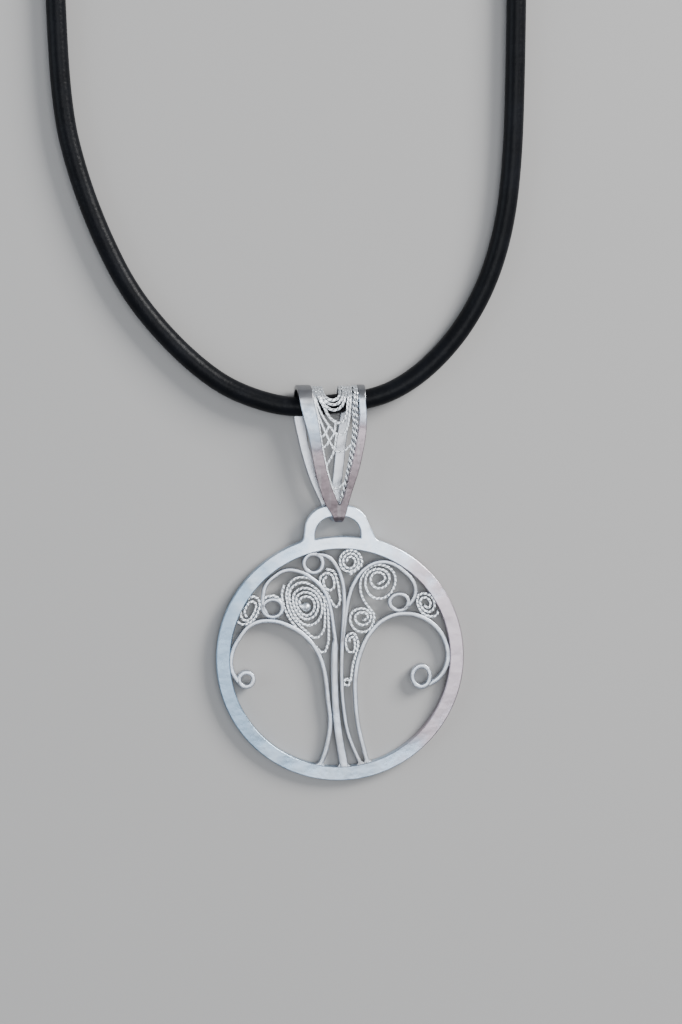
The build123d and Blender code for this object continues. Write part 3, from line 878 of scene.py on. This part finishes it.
class Paint:
    """A material under construction."""

    def __init__(self, name):
        self.material = bpy.data.materials.new(name)
        self.material.use_nodes = True
        self.tree = self.material.node_tree
        self.tree.nodes.clear()

    def add(self, kind, settings=None, sockets=None, output=0):
        """A node of this type, with its settings made first, and values or links in its sockets."""
        node = self.tree.nodes.new(kind)
        for name, value in (settings or {}).items():
            setattr(node, name, value)
        for name, value in (sockets or {}).items():
            if isinstance(value, Socket):
                self.tree.links.new(value.output, node.inputs[name])
            elif hasattr(value, "__len__") and node.inputs[name].type == "RGBA":
                node.inputs[name].default_value = (*value, 1)
            else:
                node.inputs[name].default_value = value
        return Socket(self, node.outputs[output])

    def place(self):
        return self.add("ShaderNodeTexCoord", output=3)

    def along(self, axis):
        """The place along this axis, in metres."""
        return self.add("ShaderNodeSeparateXYZ", {}, {"Vector": self.place()}, axis)

    def noise(self, scale, detail, stretch=(1, 1, 1)):
        where = self.add("ShaderNodeMapping", {}, {"Vector": self.place(), "Scale": stretch})
        return self.add("ShaderNodeTexNoise", {}, {"Vector": where, "Scale": scale, "Detail": detail})

    def ramp(self, value, low, high):
        """The value spread over 0 to 1 between these two."""
        return self.add(
            "ShaderNodeMapRange", {"clamp": True}, {"Value": value, "From Min": low, "From Max": high}
        )

    def tint(self, value, tint):
        return self.ramp(value, tint.start, tint.full) * tint.strength

    def mix(self, factor, first, second):
        return self.add("ShaderNodeMix", {"data_type": "RGBA"}, {0: factor, 6: first, 7: second}, 2)

    def bump(self, height, distance, strength, below=None):
        sockets = {"Height": height, "Distance": distance, "Strength": strength}
        if below is not None:
            sockets["Normal"] = below
        return self.add("ShaderNodeBump", {}, sockets)

    def finish(self, sockets):
        shader = self.add("ShaderNodeBsdfPrincipled", {}, sockets)
        end = self.tree.nodes.new("ShaderNodeOutputMaterial")
        self.tree.links.new(shader.output, end.inputs["Surface"])
        return self.material


def satin_silver(name, tints):
    """Whitened silver, satin with fine strokes and soft waves. tints adds to its colour."""
    finishes = bpy.context.scene.pendant_finishes
    paint = Paint(name)
    cloud = paint.noise(330, 3)
    mottle = paint.noise(1300, 3)
    stroke = paint.noise(2600, 2, (1, 0.16, 1))
    grain = paint.noise(9000, 2)
    light = paint.ramp(cloud * 0.65 + mottle * 0.35, 0.38, 0.65)
    base = tints(paint, paint.mix(light * 0.6, finishes.silver, finishes.polished), cloud)
    rough = 0.3 + (cloud - 0.5) * 0.14 + (grain - 0.5) * 0.1
    soft = paint.bump(cloud, 0.0002, 0.5)
    normal = paint.bump(stroke * 0.7 + grain * 0.3, 0.000014, 0.6, soft)
    return paint.finish(
        {"Base Color": base, "Metallic": 1.0, "Roughness": rough, "Normal": normal}
    )


# Where a tint starts, where it is full, and how strong it then is. Places are in metres along one
# axis of the row frame. BAIL_RIGHT's strength is a length: the painted mauve reflection reaches that
# much further up. The cool and mauve tints are painted reflections; the bail's darker low tint and
# its crest tint are painted shade.

Tint = namedtuple("Tint", "start full strength")

PAINTED_COOL_FOOT = Tint(-0.006, -0.022, 0.45)
PAINTED_COOL_LEFT = Tint(-0.003, -0.0125, 0.9)
PAINTED_LILAC_RIGHT = Tint(0.005, 0.0125, 0.85)
BAIL_FRONT = Tint(0.0013, 0.002, 1)
BAIL_RIGHT = Tint(-0.0015, 0.0005, 0.0035)
BAIL_PAINTED_COOL = Tint(0.0225, 0.0198, 0.6)
BAIL_PAINTED_LILAC = Tint(0.0194, 0.0162, 0.9)
BAIL_PAINTED_LOW_SHADE = Tint(0.0215, 0.013, 0.85)
BAIL_PAINTED_CREST_SHADE = Tint(0.0226, 0.0246, 0.9)


def frame_painted_reflections(paint, base, cloud):
    """Painted cool reflection towards the frame's left and foot, and painted mauve reflection towards its
    right.
    """
    finishes = bpy.context.scene.pendant_finishes
    drift = (cloud - 0.5) * 0.014
    across = paint.along(0) + drift
    upward = paint.along(1) + drift
    base = paint.mix(paint.tint(upward, PAINTED_COOL_FOOT), base, finishes.painted_sky)
    base = paint.mix(paint.tint(across, PAINTED_COOL_LEFT), base, finishes.painted_sky)
    return paint.mix(paint.tint(across, PAINTED_LILAC_RIGHT), base, finishes.painted_lilac)


def wire_tints(paint, base, cloud):
    """Greyer than the frame."""
    finishes = bpy.context.scene.pendant_finishes
    return paint.mix(0.6 + (cloud - 0.5) * 0.5, base, finishes.shade)


def bail_painted_light_and_streaks(paint, base, cloud):
    """Painted cool and then painted mauve reflection down the front leg, its right side first,
    darkening to painted shade low on it; grey painted shade down the back, under the front leg,
    and darker painted shade over the crest; with fine streaks along it."""
    finishes = bpy.context.scene.pendant_finishes
    upward = paint.along(1) + (cloud - 0.5) * 0.004
    front = paint.tint(paint.along(2), BAIL_FRONT)
    right = paint.tint(paint.along(0), BAIL_RIGHT)
    # Painted cool and mauve reflections down the front leg.
    base = paint.mix(paint.tint(upward, BAIL_PAINTED_COOL) * front, base, finishes.painted_sky)
    base = paint.mix(paint.tint(upward - right, BAIL_PAINTED_LILAC) * front, base, finishes.painted_lilac)
    # Painted shade, a darker mauve, low on the front leg.
    painted_low_shade = tuple(0.42 * value for value in finishes.painted_lilac)
    base = paint.mix(paint.tint(upward, BAIL_PAINTED_LOW_SHADE) * front, base, painted_low_shade)
    # Painted shade on the back leg, under the front leg.
    base = paint.mix((1 - front) * 0.75, base, finishes.shade)
    streak = paint.noise(1500, 2, (1, 0.06, 1))
    base = paint.mix(paint.ramp(streak, 0.5, 0.75) * 0.45, base, finishes.shade)
    # Painted shade over the crest, where the band turns away from the light.
    dim = tuple(0.5 * value for value in finishes.shade)
    return paint.mix(paint.tint(upward, BAIL_PAINTED_CREST_SHADE), base, dim)


def polished_silver(name, rough=0.13):
    finishes = bpy.context.scene.pendant_finishes
    paint = Paint(name)
    wear = paint.noise(1500, 3)
    base = paint.mix(paint.ramp(wear, 0.3, 0.8) * 0.5, finishes.polished, finishes.silver)
    return paint.finish({
        "Base Color": base, "Metallic": 1.0, "Roughness": rough + (wear - 0.5) * 0.14,
        "Normal": paint.bump(wear, 0.00002, 0.5),
    })


def wire_silver(name, low, high):
    """Twisted wire, burnished on top, with painted shade between its strands that lifts from one share
    of a strand's width out from the twist's middle to the other."""
    finishes = bpy.context.scene.pendant_finishes
    paint = Paint(name)
    depth = paint.add("ShaderNodeAttribute", {"attribute_name": "depth"}, {}, 2)
    clear_of_painted_shade = paint.ramp(depth, low, high)
    grain = paint.noise(5000, 2)
    # Painted shade in the grooves between the strands.
    base = paint.mix(clear_of_painted_shade, finishes.shade, finishes.polished)
    rough = 0.42 - clear_of_painted_shade * 0.12 + (grain - 0.5) * 0.12
    return paint.finish({
        "Base Color": base, "Metallic": 1.0, "Roughness": rough,
        "Normal": paint.bump(grain, 0.00001, 0.5),
    })


def black_leather(name):
    finishes = bpy.context.scene.pendant_finishes
    paint = Paint(name)
    grain = paint.noise(2600, 4)
    crease = paint.noise(900, 3)
    wear = paint.ramp(paint.noise(260, 3), 0.45, 0.75)
    base = paint.mix(wear * 0.3, finishes.leather, finishes.worn)
    rough = 0.36 + (grain - 0.5) * 0.3
    fine = paint.bump(grain, 0.00006, 0.6)
    normal = paint.bump(crease, 0.00012, 0.35, fine)
    return paint.finish(
        {"Base Color": base, "Roughness": rough, "Normal": normal, "Specular IOR Level": 0.1}
    )


def pale_floor(name):
    finishes = bpy.context.scene.pendant_finishes
    paint = Paint(name)
    base = paint.mix(paint.noise(40, 2) * 0.12, finishes.floor, finishes.floor_light)
    return paint.finish({"Base Color": base, "Roughness": 0.85})


def finished(item, slot, *materials):
    item.data.materials.clear()
    for material in materials:
        item.data.materials.append(material)
    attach(item, "root")


# Pieces


class PENDANT_OT_cord(bpy.types.Operator):
    """Lay the leather cord in its loop"""
    bl_idname = "pendant.cord"
    bl_label = "Leather cord"

    def execute(self, context):
        sizes = context.scene.pendant_cord
        clear()
        shape = bpy.data.curves.new("leather_cord_round", "CURVE")
        shape.dimensions = "3D"
        shape.resolution_u = 16
        shape.bevel_depth = sizes.diameter / 2
        shape.bevel_resolution = 10
        shape.use_fill_caps = True
        line = shape.splines.new("NURBS")
        line.points.add(len(CORD_ROUTE) - 1)
        for knot, (x, y, z) in zip(line.points, CORD_ROUTE):
            knot.co = (x * MM, y * MM, z * MM, 1)
        line.order_u = 3
        line.use_endpoint_u = True
        cord = linked("leather_cord_round", shape)
        finished(cord, "cord_leather", black_leather("black leather"))
        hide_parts("leather_cord")
        return {"FINISHED"}


class PENDANT_OT_ring(bpy.types.Operator):
    """Cut the round frame and its top loop from one plate"""
    bl_idname = "pendant.ring"
    bl_label = "Ring frame"

    def execute(self, context):
        sizes = context.scene.pendant_disc
        ring = plate(
            [frame_outline(sizes), circle(tree_radius()), lug_hole(sizes)],
            sizes.ring_height / MM, sizes.edge / MM, "ring_frame",
        )
        settle(ring, disc_place(), 50)
        satin = satin_silver("satin silver frame", frame_painted_reflections)
        finished(ring, "disc_silver", satin, polished_silver("edge silver"))
        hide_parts("tree_disc")
        return {"FINISHED"}


class PENDANT_OT_boughs(bpy.types.Operator):
    """Bend the trunk, the boughs and the twigs from flat wire"""
    bl_idname = "pendant.boughs"
    bl_label = "Trunk, boughs and twigs"

    def execute(self, context):
        sizes = context.scene.pendant_disc
        edge = sizes.wire_edge / MM
        satin = satin_silver("satin silver wires", wire_tints)
        polished = polished_silver("wire edge silver")

        def bent(places, width, height, tip=1.0):
            path = bent_path([on_tree(place) for place in places])
            run = path.data.splines[0].calc_length()
            wire = flat_stock(run, width / MM, height / MM, edge, tip)
            follow(wire, path)
            return wire

        def foot_fillets(places, width, height, reach=0.45):
            """Solder on both sides of a wire's foot, where it stands on the frame."""
            low, high = on_tree(places[0]), on_tree(places[1])
            rise = (high - low).normalized()
            toward = low.dot(rise)
            inside = tree_radius()
            foot = low - rise * (toward + (toward ** 2 - low.length_squared + inside ** 2) ** 0.5)
            fillets = []
            for way in (-1, 1):
                beside = Vector((-foot.y, foot.x)).normalized() * way
                corner = foot + beside * (width / 2)
                fillets.append(solder(corner, rise, beside, reach, height))
            return fillets

        def oval(loop, width, height):
            percent = tree_radius() / 100
            ring = spun_loop(
                loop.half_width * percent, loop.half_height * percent, width / MM, height / MM, edge
            )
            ring.location = on_tree(loop).to_3d()
            pick(ring)
            bpy.ops.object.transform_apply()
            return ring

        trunk = bent(TRUNK, sizes.trunk_foot, sizes.trunk_height, sizes.trunk_tip / sizes.trunk_foot)
        trunk.name = "trunk"
        boughs = [
            bent(places, sizes.bough_wire, sizes.bough_height) for places in (LEFT_BOUGH, RIGHT_BOUGH)
        ]
        boughs += [oval(loop, sizes.bough_wire, sizes.bough_height) for loop in BOUGH_LOOPS]
        boughs = join(boughs, "boughs")
        twigs = [
            bent(places, sizes.twig_wire, sizes.bough_height) for places in (STEM, LEFT_TWIG, RIGHT_TWIG)
        ]
        twigs += [oval(loop, sizes.twig_wire, sizes.bough_height) for loop in TWIG_LOOPS]
        twigs = join(twigs, "twigs")
        feet = join([
            fillet
            for places, width in (
                (TRUNK, sizes.trunk_foot), (LEFT_BOUGH, sizes.bough_wire),
                (RIGHT_BOUGH, sizes.bough_wire), (STEM, sizes.twig_wire),
            )
            for fillet in foot_fillets(places, width / MM, sizes.bough_height / MM)
        ], "feet")
        for piece in (trunk, boughs, twigs, feet):
            settle(piece, disc_place(), 60)
            finished(piece, "disc_silver", satin, polished)
            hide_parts("tree_disc")
        return {"FINISHED"}


class PENDANT_OT_scrolls(bpy.types.Operator):
    """Wind the scrolls from flattened twisted wire, and set the granule"""
    bl_idname = "pendant.scrolls"
    bl_label = "Scrolls and granule"

    def execute(self, context):
        sizes = context.scene.pendant_disc
        strand = sizes.scroll_wire / MM
        lay = sizes.scroll_lay / MM
        pattern = twisted_lay(lay, strand)
        squeeze = 0.5 / ROLLED
        stretch = sizes.scroll_height / sizes.scroll_wire / 2 / ROLLED
        routes = [scroll_points(scroll) for scroll in SCROLLS]
        routes.append([on_tree(place) for place in LEAF_EDGE])
        wires = [twisted_wire(pattern, bent_path(route), lay, squeeze, stretch) for route in routes]
        wide, tall = TAIL_LOOP.half_width, TAIL_LOOP.half_height
        around = [
            on_tree(Place(TAIL_LOOP.across + across, TAIL_LOOP.up + up))
            for across, up in ((wide, 0), (0, tall), (-wide, 0), (0, -tall))
        ]
        wires.append(twisted_wire(pattern, bent_path(around, closed=True), lay, squeeze, stretch))
        discard(pattern)
        scrolls = join(wires, "scrolls")
        settle(scrolls, disc_place(), 70)
        finished(scrolls, "disc_silver", wire_silver("twisted silver", 0.4, 0.62))
        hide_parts("tree_disc")

        clear()
        bpy.ops.mesh.primitive_uv_sphere_add(
            segments=48, ring_count=24, radius=sizes.granule_radius / MM,
            location=on_tree(GRANULE).to_3d(),
        )
        granule = bpy.context.object
        granule.name = "granule"
        settle(granule, disc_place(), 80)
        finished(granule, "disc_silver", polished_silver("granule silver", 0.42))
        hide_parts("tree_disc")
        return {"FINISHED"}


class PENDANT_OT_bail(bpy.types.Operator):
    """Cut the bail's band, solder its wires on and fold both over the cord"""
    bl_idname = "pendant.bail"
    bl_label = "Bail"

    def execute(self, context):
        sizes = context.scene.pendant_bail
        fold = Fold()
        band = plate(
            [span_outline(fold, spans) for spans in (BAIL_EDGE, FRONT_OPENING, BACK_OPENING)],
            sizes.wall / MM, sizes.edge / MM, "bail_band", pieces=14,
        )
        run = fold.marks[-1]
        step = 0.2
        cuts = ceil(run / step)
        choose(band, "FACE", everything)
        for cut in range(1, cuts):
            bpy.ops.mesh.select_all(action="SELECT")
            bpy.ops.mesh.bisect(plane_co=(run * cut / cuts, 0, 0), plane_no=(1, 0, 0))
        clear()
        wires = []
        stretch = 0.75
        for routes, strand, lay, rolled, pressed in (
            (HANGING_WIRES, sizes.hanging_wire, sizes.hanging_lay, ROLLED, 0.56),
            (NET_WIRES, sizes.net_wire, sizes.hanging_lay, ROLLED, PRESSED),
            (BORDER_WIRES, sizes.border_wire, sizes.border_lay, 0.8, 0.5),
        ):
            pattern = twisted_lay(lay / MM, strand / MM, rolled, pressed)
            for places in routes:
                path = bent_path([fold.place(place.across, place.up) for place in places])
                wires.append(twisted_wire(pattern, path, lay / MM, 0.5 / rolled, stretch))
            discard(pattern)
        filling = join(wires, "bail_wires")
        for piece in (band, filling):
            pick(piece)
            piece.rotation_euler = (pi / 2, 0, 0)
            bpy.ops.object.transform_apply()
            follow(piece, fold.path())
            settle(piece, bail_place(), 50)
            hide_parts("bail")
        satin = satin_silver("satin silver bail", bail_painted_light_and_streaks)
        finished(band, "bail_silver", satin, polished_silver("bail edge silver"))
        finished(filling, "bail_silver", wire_silver("bail twisted silver", 0.45, 0.7))
        return {"FINISHED"}


class PENDANT_OT_clasp(bpy.types.Operator):
    """Finish the clasp in satin silver"""
    bl_idname = "pendant.clasp"
    bl_label = "Clasp"

    def execute(self, context):
        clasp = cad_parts["clasp"]
        clasp.data.materials.clear()
        clasp.data.materials.append(satin_silver("satin silver clasp", wire_tints))
        return {"FINISHED"}


# Square lamps that point at the pendant. Places and sizes are in metres, power is in watts.
Lamp = namedtuple("Lamp", "name place size power colour")
LAMPS = [
    Lamp("overhead", (0.13, 0.04, 0.9), 0.55, 3.2, (0.97, 0.985, 1)),
    Lamp("key", (0.48, 0.4, 0.34), 0.3, 8, (1, 0.99, 0.97)),
    Lamp("window", (-0.7, 0.1, 0.35), 0.5, 2, (0.82, 0.91, 1)),
]


class PENDANT_OT_stage(bpy.types.Operator):
    """Add the pale floor and the soft lights"""
    bl_idname = "pendant.stage"
    bl_label = "Floor and lights"

    def execute(self, context):
        clear()
        bpy.ops.mesh.primitive_plane_add(size=6, location=(0, 0, -0.00001))
        floor = bpy.context.object
        floor.name = "floor"
        bpy.ops.object.transform_apply()
        floor.data.materials.append(pale_floor("pale floor"))
        aim = Vector((0, 0.01, 0))
        for lamp in LAMPS:
            light = bpy.data.lights.new(lamp.name, "AREA")
            light.size = lamp.size
            light.energy = lamp.power
            light.color = lamp.colour
            stand = linked(lamp.name, light)
            stand.location = lamp.place
            stand.rotation_euler = (aim - Vector(lamp.place)).to_track_quat("-Z", "Y").to_euler()
        world = bpy.data.worlds.new("room")
        world.use_nodes = True
        room = world.node_tree.nodes["Background"]
        room.inputs["Color"].default_value = (0.9, 0.93, 1, 1)
        room.inputs["Strength"].default_value = 0.35
        context.scene.world = world
        return {"FINISHED"}


class PENDANT_OT_camera(bpy.types.Operator):
    """Stand the camera over the pendant, a little up and to the left"""
    bl_idname = "pendant.camera"
    bl_label = "Camera"

    def execute(self, context):
        aim = Vector((0.000207, 0.009136, 0))
        distance = 0.37
        back = Vector((-0.100, 0.105, 0.989)).normalized()
        up = (Vector((0, 1, 0)) - back * back.y).normalized()
        right = up.cross(back)
        view = bpy.data.cameras.new("camera")
        view.lens = 101.3
        view.sensor_width = 36
        view.clip_start = 0.01
        camera = linked("camera", view)
        turned = Matrix((right, up, back)).transposed().to_4x4()
        camera.matrix_world = Matrix.Translation(aim + back * distance) @ turned
        context.scene.camera = camera
        return {"FINISHED"}


class PENDANT_PT_panel(bpy.types.Panel):
    """Sizes, finishes and pieces of the pendant"""
    bl_label = "Pendant"
    bl_idname = "PENDANT_PT_panel"
    bl_space_type = "VIEW_3D"
    bl_region_type = "UI"
    bl_category = "Pendant"

    def draw(self, context):
        for operator in OPERATORS:
            self.layout.operator(operator.bl_idname)
        for name, group in GROUPS.items():
            column = self.layout.column()
            for size in group.__annotations__:
                column.prop(getattr(context.scene, name), size)


GROUPS = {
    "pendant_disc": DiscSizes,
    "pendant_bail": BailSizes,
    "pendant_cord": CordSizes,
    "pendant_finishes": Finishes,
}
OPERATORS = (
    PENDANT_OT_camera,
    PENDANT_OT_cord,
    PENDANT_OT_stage,
    PENDANT_OT_ring,
    PENDANT_OT_boughs,
    PENDANT_OT_scrolls,
    PENDANT_OT_bail,
    PENDANT_OT_clasp,
)


def register():
    for name, group in GROUPS.items():
        bpy.utils.register_class(group)
        setattr(bpy.types.Scene, name, bpy.props.PointerProperty(type=group))
    for operator in OPERATORS:
        bpy.utils.register_class(operator)
    bpy.utils.register_class(PENDANT_PT_panel)


def unregister():
    bpy.utils.unregister_class(PENDANT_PT_panel)
    for operator in reversed(OPERATORS):
        bpy.utils.unregister_class(operator)
    for name, group in GROUPS.items():
        delattr(bpy.types.Scene, name)
        bpy.utils.unregister_class(group)


def main():
    register()
    for operator in OPERATORS:
        family, name = operator.bl_idname.split(".")
        getattr(getattr(bpy.ops, family), name)()


if __name__ == "__main__":
    main()
